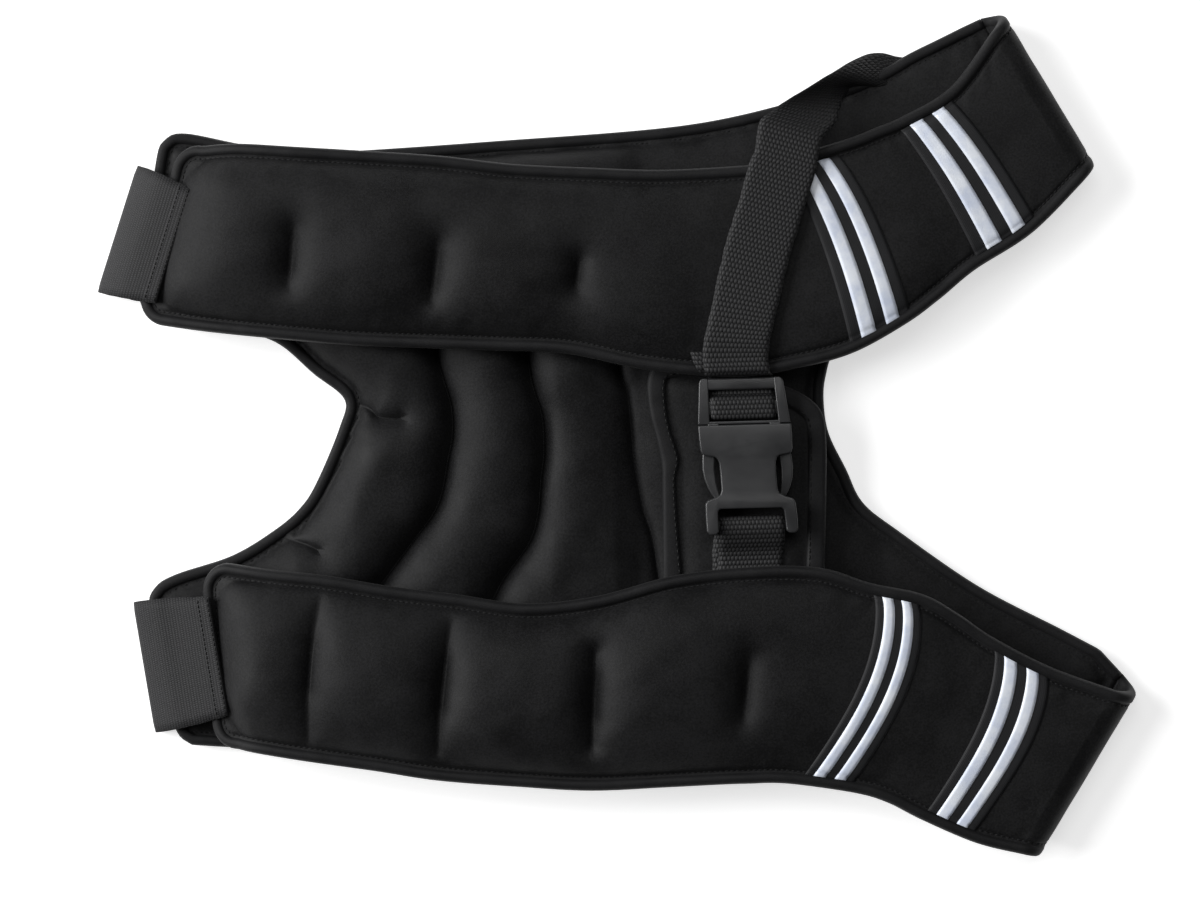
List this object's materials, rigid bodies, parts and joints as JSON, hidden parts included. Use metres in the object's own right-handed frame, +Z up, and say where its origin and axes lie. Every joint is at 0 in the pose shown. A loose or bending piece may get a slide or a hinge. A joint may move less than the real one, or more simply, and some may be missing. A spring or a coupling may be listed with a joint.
{
  "type": "weighted vest",
  "caption": "Black neoprene weighted vest lying flat, its padded front straps folded over the quilted back, with chest buckle, elastic side bands and reflective tapes.",
  "frame": {"origin": "middle of the whole vest's box, on the surface that it lies on", "axes": "+X from the hem to the shoulders, +Y to the wearer's right, +Z up out of the surface"},
  "size_m": [0.5594, 0.4538, 0.0525],
  "materials": {
    "neoprene": "matte",
    "edge_binding": "matte",
    "webbing": "matte",
    "elastic": "matte",
    "buckle_plastic": "satin",
    "tape": "matte",
    "reflective_film": "satin"
  },
  "bodies": {
    "root": {"front_strap_right": "neoprene", "front_binding_right": "edge_binding", "tape_1_right": "tape", "tape_1_right_stripe_a": "reflective_film", "tape_1_right_stripe_b": "reflective_film", "tape_2_right": "tape", "tape_2_right_stripe_a": "reflective_film", "tape_2_right_stripe_b": "reflective_film", "front_strap_left": "neoprene", "front_binding_left": "edge_binding", "tape_1_left": "tape", "tape_1_left_stripe_a": "reflective_film", "tape_1_left_stripe_b": "reflective_film", "tape_2_left": "tape", "tape_2_left_stripe_a": "reflective_film", "tape_2_left_stripe_b": "reflective_film", "elastic_band_right": "elastic", "elastic_band_left": "elastic", "back_panel": "neoprene", "back_binding_outer": "edge_binding", "back_binding_neck": "edge_binding", "buckle_flap": "neoprene", "flap_binding": "edge_binding", "buckle_male": "buckle_plastic", "buckle_female": "buckle_plastic", "chest_webbing": "webbing", "lower_webbing": "webbing"}
  },
  "joints": []
}
